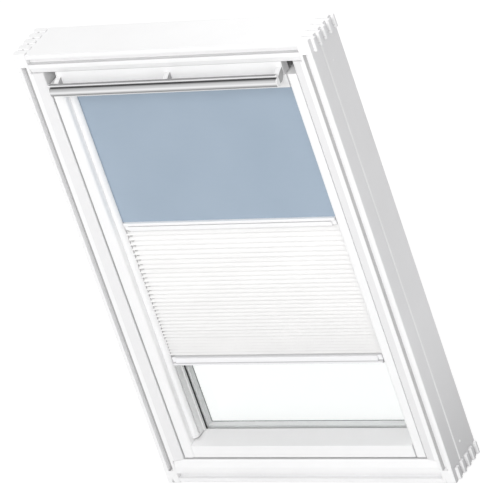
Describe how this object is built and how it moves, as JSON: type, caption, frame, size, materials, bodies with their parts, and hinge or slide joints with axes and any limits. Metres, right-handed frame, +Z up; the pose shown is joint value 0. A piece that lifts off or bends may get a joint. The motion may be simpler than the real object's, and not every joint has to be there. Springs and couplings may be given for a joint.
{
  "type": "centre-pivot roof window with two-part blind",
  "caption": "Centre-pivot roof window: finger-jointed frame, pivoting glazed sash, hinged vent flap with control bar, and a blind with blackout cloth above a mid bar and pleats below it.",
  "frame": {"origin": "in the frame's bottom face, midway between its sides and 61 mm behind its room face", "axes": "+X to the right seen from the room, +Y outwards to the weather, +Z up the slope"},
  "size_m": [0.794, 0.1718, 1.186],
  "materials": {
    "paint": "smooth white satin coating",
    "cover": "folded sheet, grey satin lacquer",
    "aluminium": "satin anodised",
    "steel": "zinc plated",
    "plastic": "white satin",
    "rubber": "black matt",
    "glass": "clear",
    "foam": "open grey filter foam",
    "blackout": "dull blue-grey blackout cloth",
    "pleats": "white pleated cloth"
  },
  "bodies": {
    "frame": {"frame_head": "paint", "frame_sill": "paint", "frame_jamb_left": "paint", "frame_jamb_right": "paint", "pivot_bush_left": "steel", "pivot_bush_right": "steel", "strike_plate": "steel", "head_cover": "cover", "jamb_cover_left": "cover", "jamb_cover_right": "cover", "sill_cover": "cover"},
    "sash": {"sash_stile_left": "paint", "sash_stile_right": "paint", "sash_top_rail": "paint", "sash_bottom_rail": "paint", "inner_pane": "glass", "outer_pane": "glass", "pane_spacer": "steel", "glazing_seal": "rubber", "sash_cover_left": "cover", "sash_cover_right": "cover", "sash_trim_left": "cover", "sash_trim_right": "cover", "sash_cover_bottom": "cover", "sash_cover_top": "cover", "pivot_arm_left": "steel", "pivot_arm_right": "steel", "latch_case": "steel", "air_filter": "foam", "cassette_housing": "aluminium", "cassette_cap_left": "plastic", "cassette_cap_right": "plastic", "side_rail_left": "plastic", "side_rail_right": "plastic", "rail_foot_left": "plastic", "rail_foot_right": "plastic", "blackout_cloth": "blackout"},
    "tongue": {"latch_tongue": "steel"},
    "flap": {"vent_flap": "paint", "flap_cap_left": "plastic", "flap_cap_right": "plastic", "control_bar": "aluminium", "bar_bracket_left": "paint", "bar_bracket_centre": "paint", "bar_bracket_right": "paint", "bar_cap_left": "plastic", "bar_cap_right": "plastic"},
    "roller": {"roller_tube": "steel", "cloth_roll": "blackout"},
    "mid_bar": {"mid_bar": "plastic", "mid_glide_left": "plastic", "mid_glide_right": "plastic", "pleated_cloth": "pleats"},
    "bottom_bar": {"bottom_bar": "plastic", "bottom_glide_left": "plastic", "bottom_glide_right": "plastic"}
  },
  "joints": [
    {"name": "sash_pivot", "type": "hinge", "parent": "frame", "child": "sash", "pos_m": [0, 0.045, 0.59], "axis": [1, 0, 0], "range_deg": [0, 145]},
    {"name": "flap_hinge", "type": "hinge", "parent": "sash", "child": "flap", "pos_m": [0, -0.0508, 1.0997], "axis": [1, 0, 0], "range_deg": [0, 40]},
    {"name": "tongue_slide", "type": "slide", "parent": "sash", "child": "tongue", "axis": [0, 0, 1], "range_m": [0, 0.009]},
    {"name": "mid_slide", "type": "slide", "parent": "sash", "child": "mid_bar", "axis": [0, 0, -1], "range_m": [-0.335, 0.19], "deforming": ["blackout_cloth"]},
    {"name": "roller_turn", "type": "hinge", "parent": "sash", "child": "roller", "pos_m": [0, -0.014, 1.0695], "axis": [1, 0, 0], "continuous": true},
    {"name": "pleat_slide", "type": "slide", "parent": "mid_bar", "child": "bottom_bar", "axis": [0, 0, 1], "range_m": [-0.19, 0.3], "deforming": ["pleated_cloth"]}
  ],
  "couplings": [
    {"joint": "roller_turn", "follows": "mid_slide", "rad_per_m": 90.9}
  ]
}
